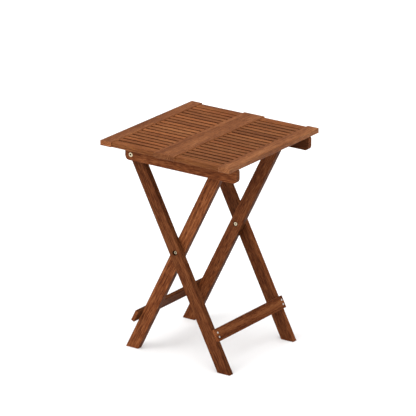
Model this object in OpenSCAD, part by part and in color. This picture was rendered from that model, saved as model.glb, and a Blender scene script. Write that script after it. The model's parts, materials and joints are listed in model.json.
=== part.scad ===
// Folding slatted side table on crossed legs.
//
// Frame: X runs along the slats, Y along the boards, Z up. The origin is on the floor,
// under the middle of the top. The table is mirrored about the plane Y = 0.
//
// The outer frame's legs are bolted to the two rails under the top at hinge_x. The inner
// frame's legs lie inside them and cross them at the middle bolts. The ends of the inner
// legs run along the underside of the top as the frames close, so the top tilts by half
// the angle. A batten stops the round bar between them when the table stands open.

/* [Top] */
// Length of the top along X
top_l = 500; // [400:5:640]
// Depth of the top along Y
top_d = 500; // [410:5:640]
// Height of the upper face of the boards above the floor
height = 718; // [560:1:880]
// Thickness of the three boards
board_t = 17.5; // [14.5:0.5:26]
// Thickness of the slats, which are flush with the boards underneath
slat_t = 15.2; // [12:0.1:22]
// Width of the two end boards
end_board_w = 43.5; // [34:0.5:60]
// Width of the board across the middle
mid_board_w = 80.5; // [50:0.5:110]
// Width of the narrow slats
slat_w = 16.3; // [12:0.1:20]
// Number of narrow slats in each half
slat_n = 17; // [5:2:19]
// Width of the slats along the front and back edges
edge_slat_w = 31.2; // [20:0.1:40]
// How far the edge slats stand back from the ends of the boards
edge_setback = 4.9; // [0:0.1:10]
// Rounding of the boards' edges
board_ease = 2.5; // [0.5:0.5:4]
// Rounding of the narrow slats' edges
slat_ease = 1.5; // [0.5:0.5:3]
// Rounding of the edge slats' edges
edge_slat_ease = 2; // [0.5:0.5:3]

/* [Slat joints] */
// Length of a tenon
tenon_l = 10; // [5:0.5:14]
// Thickness of a tenon
tenon_t = 7; // [4:0.5:9]
// Shoulder beside a tenon, on each side
shoulder = 3; // [2:0.5:5]
// Clearance all round a tenon in its mortise
mortise_gap = 0.1; // [0.05:0.05:0.5]
// Clearance past the end of a tenon
mortise_end_gap = 0.5; // [0.2:0.1:2]

/* [Rails] */
// Thickness of a rail
rail_t = 17; // [14:0.5:24]
// Height of a rail
rail_h = 45.5; // [36:0.5:60]
// How far a rail runs past the hinge bolt on the left
rail_past_hinge = 22.7; // [16:0.1:40]
// How far a rail's right end stands back from the edge of the top
rail_setback = 1; // [0:0.5:20]
// How far a rail's middle is outside the middle of the slat above it
rail_offset = 2.5; // [0:0.1:4]
// Rounding of the lower corners of a rail
rail_low_r = 16; // [4:1:18]
// Rounding of the upper corners of a rail
rail_high_r = 7.5; // [2:0.5:15]
// Rounding of a rail's long edges
rail_ease = 2; // [0.5:0.5:4]

/* [Legs] */
// Width of a leg
leg_w = 43; // [32:0.5:54]
// Thickness of a leg
leg_t = 20.5; // [15:0.5:26]
// Rounding of a leg's long edges
leg_ease = 1.5; // [0.5:0.5:4]
// Distance between the hinge axis and the bar axis under the top
top_spread = 311; // [240:0.5:400]
// Distance between the feet of the two frames on the floor, middle to middle
foot_spread = 377.5; // [280:0.5:460]
// Where the middle of the crossed frames lies along X
frame_x = -3.7; // [-20:0.1:20]
// Gap between a leg's side and the underside if the leg lay along the top
fold_gap = 3.5; // [2:0.5:8]
// Gap between the ends of the inner legs and the underside
slide_gap = 0.3; // [0.2:0.1:1]
// Gap between a rail and the outer leg
rail_gap = 1.5; // [1.3:0.1:3]
// Gap between the outer and the inner leg
leg_gap = 1.8; // [1.5:0.1:4]

/* [Stretchers and bar] */
// Width of a stretcher
stretcher_w = 41.4; // [26:0.2:60]
// Thickness of a stretcher
stretcher_t = 13; // [8:0.5:18]
// Distance along the leg from the floor to a stretcher's middle
stretcher_up = 123.6; // [80:0.1:200]
// How far the inner frame's stretcher runs past the outer legs
stretcher_past = 3.7; // [0:0.1:10]
// Rounding of a stretcher's edges
stretcher_ease = 2; // [0.5:0.5:4]
// Diameter of the round bar between the inner legs
bar_d = 20; // [12:0.5:24]
// How deep the bar sits in each leg
bar_seat = 12; // [6:0.5:14]
// Width of the stop batten along X
batten_w = 22; // [14:1:40]
// Height of the stop batten
batten_h = 28; // [20:0.5:36]
// Gap between the ends of the stop batten and the inner legs
batten_clear = 16; // [6:1:60]
// Gap between the bar and the stop batten
stop_gap = 0.4; // [0.3:0.1:2]

/* [Bolts] */
// Diameter of a pivot bolt and its sleeve nut
bolt_d = 8; // [6:0.5:10]
// Diameter of the thread inside a sleeve nut
thread_d = 6; // [4:0.5:8]
// Clearance of a pivot bolt in its hole, on the radius
bolt_gap = 0.05; // [0.02:0.01:0.1]
// Diameter of a hinge bolt's head
hinge_head_d = 15; // [12:0.5:20]
// Thickness of a hinge bolt's head
hinge_head_h = 2; // [1.2:0.1:3]
// Diameter of the head on a hinge bolt's sleeve nut
hinge_nut_d = 15; // [11:0.5:17]
// Diameter of a middle bolt's head
cross_head_d = 11; // [10:0.5:15]
// Thickness of a middle bolt's head and of both sleeve nuts' heads
sunk_head_h = 2.6; // [1.5:0.1:2.8]
// Diameter of the sinkings for the middle bolts
sink_d = 16.5; // [14:0.5:20]
// Diameter of the sinkings for the hinge bolts' sleeve nuts
hinge_sink_d = 18.5; // [16:0.5:22]
// Depth of the sinkings on the inner faces
sink_h = 3.3; // [3:0.1:5]
// Depth of the sinkings for the middle bolts' heads, on the outer faces
cross_sink_h = 7; // [3:0.5:9]
// Size of the hexagon socket across its flats
socket_af = 6; // [4:0.5:6]
// Depth of the hexagon socket
socket_h = 3.5; // [1.5:0.1:4]
// How far a hinge bolt's shoulder goes into the outer leg
hinge_shoulder = 3; // [2:0.5:8]
// How far a middle bolt's shoulder stops short of the outer leg's inner face
cross_shoulder = 4; // [2:0.5:8]
// How far a thread stops short of its sleeve nut's head
thread_stop = 1.3; // [0.8:0.1:4]
// Diameter of the washers
washer_d = 17; // [14:0.5:20]
// Gap beside whatever turns against a face
turn_gap = 0.3; // [0.2:0.1:0.5]

/* [Screws] */
// Diameter of a screw's shank
screw_d = 4; // [3:0.5:5]
// Diameter of a screw's head
screw_head_d = 6.6; // [5.5:0.1:9]
// Height of a screw's head
screw_head_h = 1.6; // [1:0.1:4]
// Length of the crossed slot in a screw's head
screw_slot_l = 4; // [3:0.1:5]
// Width of the crossed slot
screw_slot_w = 0.8; // [0.5:0.1:1.2]
// Clearance of a screw in its hole, on the radius
screw_gap = 0.05; // [0.02:0.01:0.2]
// Room around a screw's head under the top, on the radius
screw_room = 0.8; // [0.3:0.1:2]
// Clearance past the point of a screw
screw_end_gap = 0.3; // [0.1:0.1:1]
// Distance between the two screws at a stretcher's end
screw_pair = 15; // [8:1:24]
// How deep a stretcher screw goes into the leg
screw_in_leg = 22; // [12:1:30]
// How much wood a screw under the top holds below the slats
screw_grip = 16; // [8:1:22]
// How deep a screw under the top goes into the slats and boards
screw_in_top = 10; // [6:0.5:11]

/* [Hidden] */
$fn = 64;
cut = 1; // how far a cut runs past the face that it opens
bevel = 0.4; // the bevelled share of a bolt head's height
screw_bevel = 0.8; // how much narrower a screw's head is on its outer face, on the radius
screw_tip_r = 0.3;
bore_end_gap = 0.5; // how much deeper a sleeve nut's bore is than the thread in it

wood_top = [0.55, 0.31, 0.19];
wood_slat = [0.50, 0.27, 0.15];
wood_rail = [0.42, 0.23, 0.14];
wood_leg = [0.45, 0.25, 0.15];
metal_pale = [0.84, 0.80, 0.66];
metal_grey = [0.70, 0.70, 0.70];

// The top
under_z = height - board_t;
end_in = top_l / 2 - end_board_w;
mid_out = mid_board_w / 2;
slat_gap = (top_d - 2 * edge_setback - 2 * edge_slat_w - slat_n * slat_w) / (slat_n + 1);
slat_pitch = slat_w + slat_gap;
half_n = (slat_n - 1) / 2;
edge_y = top_d / 2 - edge_setback - edge_slat_w / 2;
slat_mid_x = (mid_out + end_in) / 2;

// Where the rails and legs lie across the table, as distances from the middle
rail_mid = half_n * slat_pitch + rail_offset;
rail_out = rail_mid + rail_t / 2;
rail_in = rail_out - rail_t;
outer_out = rail_in - rail_gap;
outer_in = outer_out - leg_t;
inner_out = outer_in - leg_gap;
inner_in = inner_out - leg_t;

// The crossed frames
pivot_below = leg_w / 2 + fold_gap;
pivot_z = under_z - pivot_below;
lean = atan((top_spread + foot_spread) / 2 / pivot_z);
leg_len = pivot_z / cos(lean);
cross_s = top_spread / 2 / sin(lean);
stretcher_s = leg_len - stretcher_up;
tip_r = pivot_below - slide_gap;
hinge_x = frame_x - top_spread / 2;
bar_x = frame_x + top_spread / 2;

// The rails and the batten
rail_x0 = hinge_x - rail_past_hinge;
rail_x1 = top_l / 2 - rail_setback;
rail_z0 = under_z - rail_h;
batten_l = 2 * (inner_in - batten_clear);
batten_x = bar_x + bar_d / 2 + stop_gap + batten_w / 2;
batten_k = floor((batten_l / 2 - slat_w / 2) / slat_pitch) - 1;
rail_screw_y = half_n * slat_pitch + rail_offset / 2;
rail_screw_x = [-slat_mid_x, 0, slat_mid_x, top_l / 2 - end_board_w / 2];
screw_sink_d = screw_head_d + 2 * screw_room;
pilot_r = screw_d / 2 + screw_gap;
hole_r = bolt_d / 2 + bolt_gap;

slat_names = [for (i = [1 : slat_n]) str(i < 10 ? "0" : "", i)];

// ---------- shapes ----------

// A rectangle about the origin with rounded corners.
module rounded(a, b, r) {
    difference() {
        square([a, b], center = true);
        for (i = [0, 1], j = [0, 1])
            mirror([i, 0]) mirror([0, j]) translate([a / 2 - r, b / 2 - r]) corner_waste(r);
    }
}

// What a rounded corner loses, drawn about the middle of its arc.
module corner_waste(r) {
    difference() {
        square(r + cut);
        circle(r);
    }
}

// A board with every edge rounded, its underside at Z = 0.
module eased_board(l, w, h, r) {
    intersection() {
        linear_extrude(h) rounded(l, w, r);
        translate([0, 0, h / 2]) rotate([90, 0, 0])
            linear_extrude(w, center = true) rounded(l, h, r);
        translate([0, 0, h / 2]) rotate([90, 0, 90])
            linear_extrude(l, center = true) rounded(w, h, r);
    }
}

// Puts its children at the front and at the back of the table.
module both_sides() {
    children();
    mirror([0, 1, 0]) children();
}

// A frame's own axes: the origin on the upper axis of its legs, -Z down along the legs.
// side is 1 for the outer frame, which leans to the left, and -1 for the inner frame.
module along_leg(side) {
    translate([frame_x - side * top_spread / 2, 0, pivot_z])
        rotate([0, -side * lean, 0])
            children();
}

// A cylinder along Y between two distances from the middle of the table.
module y_rod(r, y0, y1) {
    translate([0, y0, 0]) rotate([-90, 0, 0]) cylinder(h = y1 - y0, r = r);
}

// ---------- the top ----------

// Mortises in one edge of a board. dir is 1 where the board lies on the +X side of the edge.
module mortises(x, dir) {
    l = tenon_l + mortise_end_gap;
    for (k = [-half_n : half_n])
        mortise(x, dir, k * slat_pitch, slat_w, l);
    for (s = [-1, 1])
        mortise(x, dir, s * edge_y, edge_slat_w, l);
}

module mortise(x, dir, y, w, l) {
    translate([x + dir * (l - cut) / 2, y, under_z + slat_t / 2])
        cube([l + cut, w - 2 * shoulder + 2 * mortise_gap, tenon_t + 2 * mortise_gap], center = true);
}

// Holes for the screws that come up through the rails.
module rail_pilots() {
    for (x = rail_screw_x, s = [-1, 1])
        translate([x, s * rail_screw_y, under_z - cut])
            cylinder(h = screw_in_top + screw_end_gap + cut, r = pilot_r);
}

// Holes for the screws that come up through the stop batten.
module batten_pilots() {
    for (k = [-batten_k, 0, batten_k])
        translate([batten_x, k * slat_pitch, under_z - cut])
            cylinder(h = screw_in_top + screw_end_gap + cut, r = pilot_r);
}

module board_left() {
    color(wood_top) difference() {
        translate([-(end_in + end_board_w / 2), 0, under_z])
            eased_board(end_board_w, top_d, board_t, board_ease);
        mortises(-end_in, -1);
    }
}

module board_right() {
    color(wood_top) difference() {
        translate([end_in + end_board_w / 2, 0, under_z])
            eased_board(end_board_w, top_d, board_t, board_ease);
        mortises(end_in, 1);
        rail_pilots();
    }
}

module board_middle() {
    color(wood_top) difference() {
        translate([0, 0, under_z]) eased_board(mid_board_w, top_d, board_t, board_ease);
        mortises(-mid_out, 1);
        mortises(mid_out, -1);
        rail_pilots();
    }
}

// A slat between the middle board and an end board. side is -1 for the left half.
module slat_body(side, y, w, r) {
    l = end_in - mid_out;
    translate([side * slat_mid_x, y, under_z + slat_t / 2]) {
        rotate([90, 0, 90]) linear_extrude(l, center = true) rounded(w, slat_t, r);
        cube([l + 2 * tenon_l, w - 2 * shoulder, tenon_t], center = true);
    }
}

// Slat i of one half, counted from the front.
module slat(side, i) {
    k = i - 1 - half_n;
    color(wood_slat) difference() {
        slat_body(side, k * slat_pitch, slat_w, slat_ease);
        if (abs(k) == half_n) rail_pilots();
        if (side > 0 && (k == 0 || abs(k) == batten_k)) batten_pilots();
    }
}

module edge_slat(side, end) {
    color(wood_slat) slat_body(side, end * edge_y, edge_slat_w, edge_slat_ease);
}

// Side view of a rail, drawn with 2D x along X and 2D y along Z.
module rail_outline() {
    l = rail_x1 - rail_x0;
    translate([rail_x0, rail_z0]) difference() {
        square([l, rail_h]);
        translate([rail_low_r, rail_low_r]) rotate(180) corner_waste(rail_low_r);
        translate([l - rail_low_r, rail_low_r]) rotate(-90) corner_waste(rail_low_r);
        translate([rail_high_r, rail_h - rail_high_r]) rotate(90) corner_waste(rail_high_r);
        translate([l - rail_high_r, rail_h - rail_high_r]) corner_waste(rail_high_r);
    }
}

// The rail at the back. The one at the front is its mirror image.
module rail() {
    color(wood_rail) difference() {
        intersection() {
            translate([0, rail_out, 0]) rotate([90, 0, 0]) linear_extrude(rail_t) rail_outline();
            translate([(rail_x0 + rail_x1) / 2, rail_mid, rail_z0 + rail_h / 2]) rotate([90, 0, 90])
                linear_extrude(rail_x1 - rail_x0, center = true) rounded(rail_t, rail_h, rail_ease);
        }
        translate([hinge_x, 0, pivot_z]) y_rod(hole_r, rail_in - cut, rail_out + cut);
        for (x = rail_screw_x) translate([x, rail_screw_y, 0]) {
            translate([0, 0, rail_z0 - cut]) cylinder(h = rail_h + 2 * cut, r = pilot_r);
            translate([0, 0, rail_z0 - cut])
                cylinder(h = rail_h - screw_grip + cut, r = screw_sink_d / 2);
        }
    }
}

module stop_batten() {
    color(wood_rail) difference() {
        translate([batten_x, 0, under_z - batten_h])
            eased_board(batten_w, batten_l, batten_h, rail_ease);
        for (k = [-batten_k, 0, batten_k]) translate([batten_x, k * slat_pitch, 0]) {
            translate([0, 0, under_z - batten_h - cut]) cylinder(h = batten_h + 2 * cut, r = pilot_r);
            translate([0, 0, under_z - batten_h - cut])
                cylinder(h = batten_h - screw_grip + cut, r = screw_sink_d / 2);
        }
    }
}

// A wood screw along +Z with the underside of its head at Z = 0 and a crossed slot.
module wood_screw(l) {
    difference() {
        union() {
            cylinder(h = l - screw_d, r = screw_d / 2);
            translate([0, 0, l - screw_d]) cylinder(h = screw_d, r1 = screw_d / 2, r2 = screw_tip_r);
            translate([0, 0, -screw_head_h / 2]) cylinder(h = screw_head_h / 2, r = screw_head_d / 2);
            translate([0, 0, -screw_head_h])
                cylinder(h = screw_head_h / 2, r1 = screw_head_d / 2 - screw_bevel, r2 = screw_head_d / 2);
        }
        for (a = [0, 90]) rotate(a)
            translate([0, 0, -screw_head_h])
                cube([screw_slot_l, screw_slot_w, screw_head_h], center = true);
    }
}

module top_screws() {
    color(metal_grey) {
        for (x = rail_screw_x, s = [-1, 1])
            translate([x, s * rail_screw_y, under_z - screw_grip]) wood_screw(screw_grip + screw_in_top);
        for (k = [-batten_k, 0, batten_k])
            translate([batten_x, k * slat_pitch, under_z - screw_grip])
                wood_screw(screw_grip + screw_in_top);
    }
}

// ---------- the legs ----------

// A leg at the back, from its inner face at y_in, cut level with the floor.
module leg_blank(side, y_in) {
    intersection() {
        along_leg(side) intersection() {
            translate([0, y_in + leg_t / 2, -leg_len - leg_w])
                linear_extrude(leg_len + leg_w + tip_r) rounded(leg_w, leg_t, leg_ease);
            translate([0, y_in + leg_t + cut, 0]) rotate([90, 0, 0]) linear_extrude(leg_t + 2 * cut) {
                circle(tip_r);
                translate([-leg_w, -leg_len - 2 * leg_w]) square([2 * leg_w, leg_len + 2 * leg_w]);
            }
        }
        translate([-top_l - height, 0, 0]) cube([2 * (top_l + height), top_d, height]);
    }
}

// Holes for the two screws at a stretcher's end. The local X axis points out of the leg.
module stretcher_pilots(y) {
    for (d = [-1, 1])
        translate([leg_w / 2 - screw_in_leg - screw_end_gap, y, -stretcher_s + d * screw_pair / 2])
            rotate([0, 90, 0])
                cylinder(h = screw_in_leg + screw_end_gap + stretcher_t + cut, r = pilot_r);
}

module outer_leg() {
    color(wood_leg) difference() {
        leg_blank(1, outer_in);
        along_leg(1) {
            y_rod(hole_r, outer_in - cut, outer_out + cut);
            y_rod(hinge_sink_d / 2, outer_in - cut, outer_in + sink_h);
            translate([0, 0, -cross_s]) {
                y_rod(hole_r, outer_in - cut, outer_out + cut);
                y_rod(sink_d / 2, outer_out - cross_sink_h, outer_out + cut);
            }
            stretcher_pilots(outer_in + leg_t / 2);
        }
    }
}

module inner_leg() {
    color(wood_leg) difference() {
        leg_blank(-1, inner_in);
        along_leg(-1) {
            y_rod(bar_d / 2 + bolt_gap, inner_in - cut, inner_in + bar_seat);
            translate([0, 0, -cross_s]) {
                y_rod(hole_r, inner_in - cut, inner_out + cut);
                y_rod(sink_d / 2, inner_in - cut, inner_in + sink_h);
            }
            mirror([1, 0, 0]) stretcher_pilots(inner_in + leg_t / 2);
        }
    }
}

// A stretcher on the outside of a pair of legs, with its screw holes over the legs.
module stretcher(side, l, y_screw) {
    color(wood_leg) along_leg(side) mirror([side > 0 ? 0 : 1, 0, 0]) difference() {
        translate([leg_w / 2 + stretcher_t / 2, 0, -stretcher_s - stretcher_w / 2])
            eased_board(stretcher_t, l, stretcher_w, stretcher_ease);
        both_sides() stretcher_pilots(y_screw);
    }
}

module outer_stretcher() {
    stretcher(1, 2 * outer_out, outer_in + leg_t / 2);
}

module inner_stretcher() {
    stretcher(-1, 2 * (outer_out + stretcher_past), inner_in + leg_t / 2);
}

module stretcher_screws(side, y_screw) {
    color(metal_pale) both_sides() along_leg(side) mirror([side > 0 ? 0 : 1, 0, 0])
        for (d = [-1, 1])
            translate([leg_w / 2 + stretcher_t, y_screw, -stretcher_s + d * screw_pair / 2])
                rotate([0, -90, 0]) wood_screw(stretcher_t + screw_in_leg);
}

module outer_stretcher_screws() {
    stretcher_screws(1, outer_in + leg_t / 2);
}

module inner_stretcher_screws() {
    stretcher_screws(-1, inner_in + leg_t / 2);
}

module top_bar() {
    color(wood_leg) along_leg(-1) y_rod(bar_d / 2, -inner_in - bar_seat, inner_in + bar_seat);
}

// ---------- bolts ----------

// A bolt along Y: its head outside y_head, its shoulder in to y_join, its thread on to y_end.
module shoulder_bolt(head_d, head_h, y_head, y_join, y_end) {
    difference() {
        union() {
            y_rod(head_d / 2, y_head, y_head + head_h * (1 - bevel));
            translate([0, y_head + head_h * (1 - bevel), 0]) rotate([-90, 0, 0])
                cylinder(h = head_h * bevel, r1 = head_d / 2, r2 = head_d / 2 - head_h * bevel);
            y_rod(bolt_d / 2, y_join, y_head);
            y_rod(thread_d / 2, y_end, y_join);
        }
        translate([0, y_head + head_h - socket_h, 0]) rotate([-90, 0, 0])
            cylinder(h = socket_h + cut, d = socket_af / cos(30), $fn = 6);
    }
}

// A sleeve nut along Y: its head from y_head inwards, its sleeve out to y_join.
module sleeve_nut(head_d, y_head, y_join, y_end) {
    difference() {
        union() {
            y_rod(head_d / 2, y_head - sunk_head_h, y_head);
            y_rod(bolt_d / 2, y_head, y_join);
        }
        y_rod(thread_d / 2 + bolt_gap, y_end - bore_end_gap, y_join + cut);
    }
}

module washer(y0, y1) {
    difference() {
        y_rod(washer_d / 2, y0, y1);
        y_rod(hole_r, y0 - cut, y1 + cut);
    }
}

module at_hinge() {
    translate([hinge_x, 0, pivot_z]) children();
}

module at_cross() {
    along_leg(1) translate([0, 0, -cross_s]) children();
}

hinge_nut_y = outer_in + sink_h - turn_gap;
cross_nut_y = inner_in + sink_h - turn_gap;
hinge_join = outer_out - hinge_shoulder;
cross_join = outer_in + cross_shoulder;
hinge_end = hinge_nut_y + thread_stop;
cross_end = cross_nut_y + thread_stop;

module hinge_bolts() {
    color(metal_pale) both_sides() at_hinge()
        shoulder_bolt(hinge_head_d, hinge_head_h, rail_out, hinge_join, hinge_end);
}

module hinge_nuts() {
    color(metal_pale) both_sides() at_hinge()
        sleeve_nut(hinge_nut_d, hinge_nut_y, hinge_join, hinge_end);
}

module hinge_washers() {
    color(metal_grey) both_sides() at_hinge() washer(outer_out + turn_gap, rail_in);
}

module cross_bolts() {
    color(metal_pale) both_sides() at_cross()
        shoulder_bolt(cross_head_d, sunk_head_h, outer_out - cross_sink_h, cross_join, cross_end);
}

module cross_nuts() {
    color(metal_pale) both_sides() at_cross()
        sleeve_nut(cross_head_d, cross_nut_y, cross_join, cross_end);
}

module cross_washers() {
    color(metal_grey) both_sides() at_cross() washer(inner_out + turn_gap, outer_in);
}

// ---------- nodes ----------

board_left();
board_middle();
board_right();
edge_slat(-1, -1);  // edge_slat_left_front
edge_slat(-1, 1);  // edge_slat_left_back
edge_slat(1, -1);  // edge_slat_right_front
edge_slat(1, 1);  // edge_slat_right_back
for (i = [1 : slat_n])
    slat(-1, i);
for (i = [1 : slat_n])
    slat(1, i);
mirror([0, 1, 0]) rail();  // rail_front
rail();  // rail_back
stop_batten();
top_screws();
hinge_bolts();
hinge_nuts();
hinge_washers();
mirror([0, 1, 0]) outer_leg();  // outer_leg_front
outer_leg();  // outer_leg_back
outer_stretcher();
outer_stretcher_screws();
cross_bolts();
cross_nuts();
cross_washers();
mirror([0, 1, 0]) inner_leg();  // inner_leg_front
inner_leg();  // inner_leg_back
inner_stretcher();
inner_stretcher_screws();
top_bar();
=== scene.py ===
"""Looks, light and camera for a folding slatted side table of oiled hardwood."""
import json
import math

import bpy
from mathutils import Matrix, Vector


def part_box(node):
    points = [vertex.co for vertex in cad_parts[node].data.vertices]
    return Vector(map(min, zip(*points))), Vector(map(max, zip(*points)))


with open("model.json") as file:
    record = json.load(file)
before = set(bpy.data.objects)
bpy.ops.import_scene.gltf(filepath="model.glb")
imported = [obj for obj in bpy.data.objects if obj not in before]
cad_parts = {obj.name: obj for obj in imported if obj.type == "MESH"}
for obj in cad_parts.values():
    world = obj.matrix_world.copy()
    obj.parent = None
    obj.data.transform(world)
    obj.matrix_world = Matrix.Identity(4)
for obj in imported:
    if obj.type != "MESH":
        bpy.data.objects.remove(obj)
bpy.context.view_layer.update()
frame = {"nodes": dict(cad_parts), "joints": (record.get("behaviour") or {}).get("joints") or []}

X, Y, Z = (1.0, 0.0, 0.0), (0.0, 1.0, 0.0), (0.0, 0.0, 1.0)

# ---------- camera ----------

AZIMUTH = 35.36  # degrees, turned towards +X from the front
ELEVATION = 19.36
ROLL = -0.12
DISTANCE = 12.41  # metres
AIM = Vector((-0.0025, -0.0081, 0.4700))
LENS = 335.6  # millimetres
SENSOR = 36.0


def add_camera():
    az, el = math.radians(AZIMUTH), math.radians(ELEVATION)
    back = Vector((math.sin(az) * math.cos(el), -math.cos(az) * math.cos(el), math.sin(el)))
    right = Vector((math.cos(az), math.sin(az), 0.0))
    up = back.cross(right)
    turn = Matrix((right, up, back)).transposed() @ Matrix.Rotation(math.radians(ROLL), 3, "Z")
    data = bpy.data.cameras.new("view")
    data.lens = LENS
    data.sensor_width = SENSOR
    data.clip_end = 100.0
    camera = bpy.data.objects.new("view", data)
    camera.matrix_world = Matrix.Translation(AIM + back * DISTANCE) @ turn.to_4x4()
    bpy.context.scene.collection.objects.link(camera)
    bpy.context.scene.camera = camera


add_camera()

# ---------- colours ----------


def linear(red, green, blue):
    """A colour from 0 to 255 a channel, as linear light."""
    def channel(v):
        v /= 255.0
        return v / 12.92 if v <= 0.04045 else ((v + 0.055) / 1.055) ** 2.4
    return channel(red), channel(green), channel(blue)


def tinted(colour, amount, cast=(1.0, 1.0, 1.0)):
    """A colour made brighter or darker and given a cast, with an alpha of 1."""
    return tuple(c * amount * k for c, k in zip(colour, cast)) + (1.0,)


# ---------- node helpers ----------


class Tree:
    """A material's nodes, made one after the other."""

    def __init__(self, name):
        self.material = bpy.data.materials.new(name)
        self.material.use_nodes = True
        self.nodes = self.material.node_tree.nodes
        self.links = self.material.node_tree.links
        self.nodes.clear()
        out = self.nodes.new("ShaderNodeOutputMaterial")
        self.shader = self.nodes.new("ShaderNodeBsdfPrincipled")
        self.links.new(self.shader.outputs[0], out.inputs["Surface"])

    def node(self, kind, inputs=(), **settings):
        n = self.nodes.new(kind)
        for key, value in settings.items():
            setattr(n, key, value)
        for socket, value in dict(inputs).items():
            self.put(n.inputs[socket], value)
        return n

    def put(self, socket, value):
        """Links an output to a socket, or sets a constant on it."""
        if isinstance(value, bpy.types.NodeSocket):
            self.links.new(value, socket)
        else:
            socket.default_value = value

    def shaded(self, inputs):
        """The material, once its shader's inputs are set."""
        for name, value in inputs.items():
            self.put(self.shader.inputs[name], value)
        return self.material

    def math(self, operation, *values, clamp=False):
        n = self.node("ShaderNodeMath", operation=operation, use_clamp=clamp)
        for socket, value in zip(n.inputs, values):
            self.put(socket, value)
        return n.outputs[0]

    def vector(self, operation, *values):
        n = self.node("ShaderNodeVectorMath", operation=operation)
        for socket, value in zip(n.inputs, values):
            self.put(socket, value)
        return n.outputs["Value" if operation in ("DOT_PRODUCT", "LENGTH") else "Vector"]

    def scaled(self, vector, factor):
        n = self.node("ShaderNodeVectorMath", {"Vector": vector, "Scale": factor},
                      operation="SCALE")
        return n.outputs["Vector"]

    def noise(self, vector, scale, detail=2.0, roughness=0.5):
        n = self.node("ShaderNodeTexNoise", {"Vector": vector, "Scale": scale, "Detail": detail,
                                              "Roughness": roughness})
        return n.outputs["Fac"]

    def remap(self, value, low, high, to_low=0.0, to_high=1.0):
        n = self.node("ShaderNodeMapRange", {"Value": value, "From Min": low, "From Max": high,
                                              "To Min": to_low, "To Max": to_high})
        return n.outputs["Result"]

    def mix(self, factor, a, b):
        """From colour a to colour b. A Mix node's sockets 6, 7 and 2 are the ones for colours."""
        n = self.node("ShaderNodeMix", data_type="RGBA")
        self.put(n.inputs[0], factor)
        self.put(n.inputs[6], a)
        self.put(n.inputs[7], b)
        return n.outputs[2]

    def bump(self, height, strength, distance):
        n = self.node("ShaderNodeBump", {"Height": height, "Strength": strength,
                                          "Distance": distance})
        return n.outputs[0]

    def edge_mask(self, radius, gain):
        """1 on edges that wear, 0 on flats: how far the rounded normal leans from the true one."""
        bevel = self.node("ShaderNodeBevel", {"Radius": radius}, samples=6)
        geometry = self.node("ShaderNodeNewGeometry")
        lean = self.vector("DOT_PRODUCT", bevel.outputs[0], geometry.outputs["Normal"])
        return self.math("MULTIPLY", self.math("SUBTRACT", 1.0, lean), gain, clamp=True)

    def from_axis(self, coords, axis):
        """How far a point is from a bolt's axis, which runs along Y at the X and Z given."""
        x, z = axis
        flat = self.vector("MULTIPLY", coords, (1.0, 0.0, 1.0))
        return self.vector("LENGTH", self.vector("SUBTRACT", flat, (x, 0.0, z)))


# ---------- where the bolts and legs are ----------


def centre_of(node):
    low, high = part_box(node)
    return tuple((Vector(low) + Vector(high)) / 2)


def bolt_axis(joint):
    """The X and Z of the bolts that a joint turns on."""
    x, _, z = next(j["pos_m"] for j in frame["joints"] if j["name"] == joint)
    return x, z


HINGE_AXIS = bolt_axis("top_tilt")
CROSS_AXIS = bolt_axis("leg_fold")


def leg_axes(node):
    """The direction down a frame's legs and the one across them.

    A leg's axis runs through both its bolts, and the inner frame leans the other way.
    """
    side = 1 if node.startswith("outer") else -1
    down = Vector((side * (CROSS_AXIS[0] - HINGE_AXIS[0]), 0.0, CROSS_AXIS[1] - HINGE_AXIS[1]))
    down.normalize()
    return down, Vector((-down.z, 0.0, down.x))


def dress(node, material):
    """Gives a CAD node one material on every face."""
    materials = frame["nodes"][node].data.materials
    for slot in range(len(materials)):
        materials[slot] = material
    if not materials:
        materials.append(material)


# ---------- wood ----------

DARK = linear(76, 36, 17)
BROWN = linear(122, 70, 38)
PALE = linear(158, 102, 62)
PORE = linear(36, 16, 8)
WORN = linear(160, 110, 72)

# casts: what a piece's red, green and blue are multiplied by
PLAIN = (1.0, 1.0, 1.0)
REDDER = (0.91, 0.82, 0.80)
YELLOWER = (1.0, 0.99, 0.89)
GREYER = (1.0, 1.04, 1.10)
GREYEST = (0.96, 1.06, 1.18)

TOP_GLOSS = 0.06  # specular levels
LEG_GLOSS = 0.03

# the tones that the narrow slats take in turn
SLAT_TONES = (1.00, 1.08, 0.95, 1.04, 0.92, 1.07, 0.98, 1.02, 0.94, 1.10, 1.00)

# the figure of the wood; lengths are in metres
LOG_STEP = (1.37, 0.61, 0.23)  # from one piece's place in the log to the next one's
RING_RATE = 260.0  # changes of tone in a metre across the growth rings
BEND = 0.030  # how far the rings bend in long waves
RIPPLE = 0.0024  # how far they bend in short waves
HEART_ASIDE = 0.018  # how far beside a piece's middle the heart of the log can lie
HEART_DEPTH = 0.040  # how far under a piece's middle it lies on average
HEART_DEPTH_SWING = 0.030  # how much more or less than that it can be

WORN_EDGE = 0.0022  # how far from an edge the oil is worn off, in metres
TURNED = (0.55, 0.90)  # the cosines between which a face becomes end grain or a narrow face
SINKING_R = 0.0084  # metres from a middle bolt's axis to just past the side of its sinking
SINKING_RIM = 0.0003  # metres over which the painted shade inside fades out
SINKING_SHADE_TONE = 0.3  # the tone of the painted shade inside it, against the rest
WOOD_BUMP = (0.35, 0.00035)  # strength and depth in metres


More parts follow.
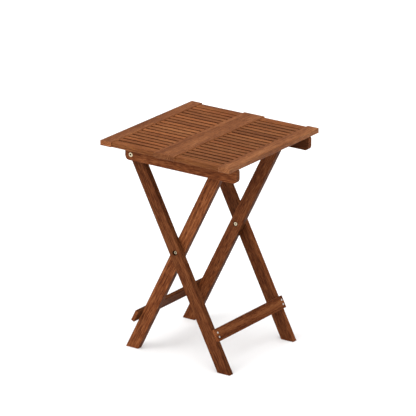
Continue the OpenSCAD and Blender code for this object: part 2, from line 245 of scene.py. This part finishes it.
def wood(name, centre, along, across, seed, tone=1.0, cast=PLAIN, figure=0.6, fleck=1.0,
         gloss=TOP_GLOSS, ends=1.0, sides=1.0, sinking=None):
    """Oiled hardwood. along is the direction of the grain and across is that of the width.

    figure is how strong the rings are, and fleck how strong the short marks between them are.
    The tones of the end grain and of the narrow faces, against the rest, are painted light where
    above 1 and painted shade where below 1.
    sinking is the X, Z of the axis of a bolt whose sinking gets painted shade inside.
    """
    t = Tree(name)
    along, across = Vector(along).normalized(), Vector(across).normalized()
    turn = Matrix((along, across, along.cross(across))).transposed().to_euler()
    coords = t.node("ShaderNodeTexCoord").outputs
    own = t.node("ShaderNodeMapping", {"Vector": coords["Object"], "Location": centre,
                                       "Rotation": turn}, vector_type="TEXTURE").outputs[0]
    moved = t.vector("ADD", own, [seed * step for step in LOG_STEP])

    def field(long, wide, detail=2.0, roughness=0.5):
        """Noise whose spots are about 1 / long metres along the grain and 1 / wide across it."""
        return t.noise(t.vector("MULTIPLY", moved, (long, wide, wide)), 1.0, detail, roughness)

    def swing(value, amount):
        return t.math("MULTIPLY", t.math("SUBTRACT", value, 0.5), amount)

    def total(first, *others):
        for other in others:
            first = t.math("ADD", first, other)
        return first

    # growth rings about a heart that wanders beside the piece
    bend = t.math("ADD", t.math("MULTIPLY", field(2.2, 9.0), BEND),
                  t.math("MULTIPLY", field(14.0, 60.0), RIPPLE))
    parts = t.node("ShaderNodeSeparateXYZ", {"Vector": own}).outputs
    heart_y = HEART_ASIDE * math.sin(seed * 2.1)
    heart_z = -HEART_DEPTH - HEART_DEPTH_SWING * math.cos(seed * 1.3)
    y = t.math("ADD", t.math("SUBTRACT", parts[1], heart_y), bend)
    z = t.math("SUBTRACT", parts[2], heart_z)
    radius = t.math("POWER", t.math("ADD", t.math("MULTIPLY", y, y), t.math("MULTIPLY", z, z)), 0.5)
    rings = t.node("ShaderNodeTexNoise", {"W": t.math("MULTIPLY", radius, RING_RATE), "Scale": 1.0,
                                           "Detail": 3.0, "Roughness": 0.62},
                   noise_dimensions="1D").outputs["Fac"]
    fibre = field(16.0, 620.0, 3.0, 0.6)
    flecks = field(42.0, 520.0, 2.0, 0.6)
    pores = t.remap(field(60.0, 1500.0, 1.0), 0.58, 0.74)
    blotches = field(4.0, 26.0)

    # tone along the rings, then broken by flecks, fibres and blotches
    marks = total(swing(rings, 1.5 * figure), swing(flecks, 1.3 * fleck), swing(fibre, 0.7 * fleck),
                  swing(blotches, 0.7))
    ramp = t.node("ShaderNodeValToRGB", {"Fac": t.math("ADD", marks, 0.5, clamp=True)})
    elements = ramp.color_ramp.elements
    elements[0].position, elements[0].color = 0.10, tinted(DARK, tone, cast)
    elements[1].position, elements[1].color = 0.92, tinted(PALE, tone, cast)
    elements.new(0.50).color = tinted(BROWN, tone, cast)
    colour = t.mix(t.math("MULTIPLY", pores, 0.60), ramp.outputs[0], tinted(PORE, tone, cast))

    # the oil is worn off a little along the edges, in an uneven line
    wear = t.math("MULTIPLY", t.edge_mask(WORN_EDGE, 2.2), t.remap(field(30.0, 90.0), 0.35, 0.75))
    colour = t.mix(t.math("MULTIPLY", wear, 0.32), colour, tinted(WORN, tone, cast))

    # end grain and narrow faces are made lighter or darker as painted light and painted shade, and
    # a sinking gets painted shade
    for axis, amount in ((along, ends), (across, sides)):
        if amount != 1.0:
            facing = t.math("ABSOLUTE", t.vector("DOT_PRODUCT", coords["Normal"], axis))
            colour = t.scaled(colour, t.remap(facing, *TURNED, 1.0, amount))
    # painted shade inside the sinking
    if sinking:
        shade = t.remap(t.from_axis(coords["Object"], sinking), SINKING_R, SINKING_R + SINKING_RIM,
                        SINKING_SHADE_TONE, 1.0)
        colour = t.scaled(colour, shade)

    rough = t.math("ADD", t.remap(fibre, 0.25, 0.75, 0.40, 0.56), t.math("MULTIPLY", wear, 0.10))
    height = t.math("SUBTRACT", t.math("MULTIPLY", fibre, 0.5), t.math("MULTIPLY", pores, 0.8))
    height = t.math("ADD", height, t.math("MULTIPLY", flecks, 0.35))
    return t.shaded({"Base Color": colour, "Roughness": rough, "Specular IOR Level": gloss,
                     "Normal": t.bump(height, *WOOD_BUMP)})


def dress_wood():
    seed = 1

    def cut(node, along, across, tone, **look):
        nonlocal seed
        dress(node, wood("wood_" + node, centre_of(node), along, across, seed, tone, **look))
        seed += 1

    # the end-face and narrow-face factors given below are painted light and painted shade on those
    # faces
    cut("board_left", Y, X, 0.94, cast=GREYER, ends=1.35)
    cut("board_middle", Y, X, 0.94, cast=GREYER, ends=0.85)
    cut("board_right", Y, X, 1.14, cast=GREYEST, ends=1.05, sides=0.90)
    for node, tone in (("edge_slat_left_front", 0.99), ("edge_slat_left_back", 1.00),
                       ("edge_slat_right_front", 0.90), ("edge_slat_right_back", 1.08)):
        cut(node, X, Y, tone, cast=YELLOWER, figure=0.5, fleck=0.7, sides=0.82)
    slats = sorted(n for n in frame["nodes"] if n.startswith("slat_"))
    # the slats' narrow faces, seen down the gaps, are darkened as painted shade
    for i, node in enumerate(slats):
        warmth = 0.03 * math.sin(i * 1.7)
        # the left half's slats are made lighter and the right half's darker; the right half's
        # darkening is a painted shadow
        half_tone_and_shadow = 1.16 if node.startswith("slat_left") else 0.98
        cut(node, X, Y, SLAT_TONES[i % len(SLAT_TONES)] * half_tone_and_shadow,
            cast=(1 + warmth, 1.03, 1.04 - warmth), figure=0.3, fleck=0.6, sides=0.5)
    # rail_back's low tone is painted shade under the top; rail_front's darker end grain is painted
    # shade and rail_back's lighter end grain painted light
    for node, tone, ends in (("rail_front", 0.98, 0.6), ("rail_back", 0.38, 1.6)):
        cut(node, X, Z, tone, cast=REDDER, fleck=1.4, gloss=LEG_GLOSS, ends=ends)
    cut("stop_batten", Y, X, 0.80, cast=REDDER)
    # on the legs the narrow-face factors are painted shade, and painted light on outer_leg_back's
    for node, tone, sides in (("outer_leg_front", 0.62, 0.80), ("outer_leg_back", 0.60, 1.25),
                              ("inner_leg_front", 0.93, 0.50), ("inner_leg_back", 0.78, 0.50)):
        cut(node, *leg_axes(node), tone, cast=REDDER, figure=0.45, fleck=1.5, gloss=LEG_GLOSS,
            sides=sides, sinking=CROSS_AXIS)
    # the stretchers' end-face factors are painted light on their end grain
    for node, tone, ends in (("outer_stretcher", 0.68, 1.5), ("inner_stretcher", 0.43, 2.0)):
        cut(node, Y, leg_axes(node)[0], tone, cast=REDDER, fleck=1.2, gloss=LEG_GLOSS, ends=ends)
    cut("top_bar", Y, X, 0.95)


dress_wood()

# ---------- metal ----------

# the colour of the painted shade inside a bolt's hexagon socket
SOCKET_SHADE_COLOUR = linear(38, 26, 18)
BRIGHT_EDGE = 0.0006  # how far from an edge the plating is brighter, in metres
SOCKET_R = 0.0031  # metres from a bolt's axis to the sides of its hexagon socket
SOCKET_RIM = 0.0004  # metres over which the painted shade in the socket fades out
METAL_BUMP = (0.12, 0.0001)  # strength and depth in metres


def metal(name, colour, dull, roughness, gain=1.0, socket=None, socket_shade=1.0):
    """Plated steel with fine turning marks, dull spots and brighter edges.

    gain is how bright both its colours are made. socket is the X, Z of the bolt's axis, where
    the hexagon socket gets painted shade.
    """
    t = Tree(name)
    coords = t.node("ShaderNodeTexCoord").outputs["Object"]
    marks = t.noise(t.vector("MULTIPLY", coords, (2600.0, 400.0, 2600.0)), 1.0)
    spots = t.remap(t.noise(coords, 420.0, 3.0, 0.6), 0.42, 0.70)
    edge = t.edge_mask(BRIGHT_EDGE, 2.0)
    shade = t.mix(t.math("MULTIPLY", spots, 0.5), tinted(colour, gain), tinted(dull, gain))
    shade = t.mix(t.math("MULTIPLY", edge, 0.5), shade, tinted(colour, 1.12 * gain))
    rough = t.remap(marks, 0.3, 0.7, roughness, roughness + 0.14)
    # painted shade inside the hexagon socket
    if socket:
        socket_shade_mask = t.remap(t.from_axis(coords, socket), SOCKET_R, SOCKET_R + SOCKET_RIM, socket_shade, 0.0)
        shade = t.mix(socket_shade_mask, shade, tinted(SOCKET_SHADE_COLOUR, 1.0))
        rough = t.math("ADD", rough, t.math("MULTIPLY", socket_shade_mask, 0.4), clamp=True)
    return t.shaded({"Base Color": shade, "Roughness": rough, "Metallic": 1.0,
                     "Normal": t.bump(marks, *METAL_BUMP)})


def dress_metal():
    zinc, tarnish = linear(226, 212, 182), linear(186, 168, 130)
    # the hinge bolts' plating is made darker and the cross bolts' lighter: painted shade and
    # painted light on one plating
    for kind, axis, gain, socket_shade in (("hinge", HINGE_AXIS, 0.92, 1.0),
                                    ("cross", CROSS_AXIS, 1.08, 0.6)):
        plated = metal("yellow_zinc_" + kind, zinc, tarnish, 0.30, gain, axis, socket_shade)
        dress(kind + "_bolts", plated)
        dress(kind + "_nuts", plated)
    bright_zinc = metal("bright_zinc", linear(224, 222, 216), linear(180, 178, 172), 0.28)
    washer_zinc = metal("washer_zinc", linear(204, 204, 202), linear(160, 160, 158), 0.38)
    for node in frame["nodes"]:
        if node.endswith("_screws"):
            dress(node, bright_zinc)
        elif node.endswith("_washers"):
            dress(node, washer_zinc)


dress_metal()

# ---------- floor and light ----------

FLOOR_HALF = 14.0  # metres
FLOOR_ALBEDO = 0.90
SKY_STRENGTH = 0.27


def add_floor():
    mesh = bpy.data.meshes.new("floor")
    h = FLOOR_HALF
    mesh.from_pydata([(-h, -h, 0), (h, -h, 0), (h, h, 0), (-h, h, 0)], [], [(0, 1, 2, 3)])
    floor = bpy.data.objects.new("floor", mesh)
    bpy.context.scene.collection.objects.link(floor)
    pale = (FLOOR_ALBEDO, FLOOR_ALBEDO, FLOOR_ALBEDO, 1.0)
    mesh.materials.append(Tree("floor").shaded({"Base Color": pale, "Roughness": 0.9,
                                                "Specular IOR Level": 0.1}))


def add_sun(name, come_from, strength, spread):
    """A distant soft box: strength in watts per square metre, spread in degrees."""
    data = bpy.data.lights.new(name, "SUN")
    data.energy = strength
    data.angle = math.radians(spread)
    lamp = bpy.data.objects.new(name, data)
    lamp.matrix_world = Vector(come_from).to_track_quat("Z", "Y").to_matrix().to_4x4()
    bpy.context.scene.collection.objects.link(lamp)


def add_light():
    world = bpy.data.worlds.new("studio")
    bpy.context.scene.world = world
    world.use_nodes = True
    sky = world.node_tree.nodes["Background"]
    sky.inputs["Color"].default_value = (1.0, 1.0, 1.0, 1.0)
    sky.inputs["Strength"].default_value = SKY_STRENGTH
    add_sun("overhead", (0.0, -0.22, 1.0), 3.2, 120.0)
    add_sun("front", (-0.50, -1.0, 0.85), 0.85, 40.0)
    add_sun("side", (1.0, -0.25, 0.45), 0.8, 50.0)


add_floor()
add_light()
bpy.context.scene.view_settings.view_transform = "Standard"
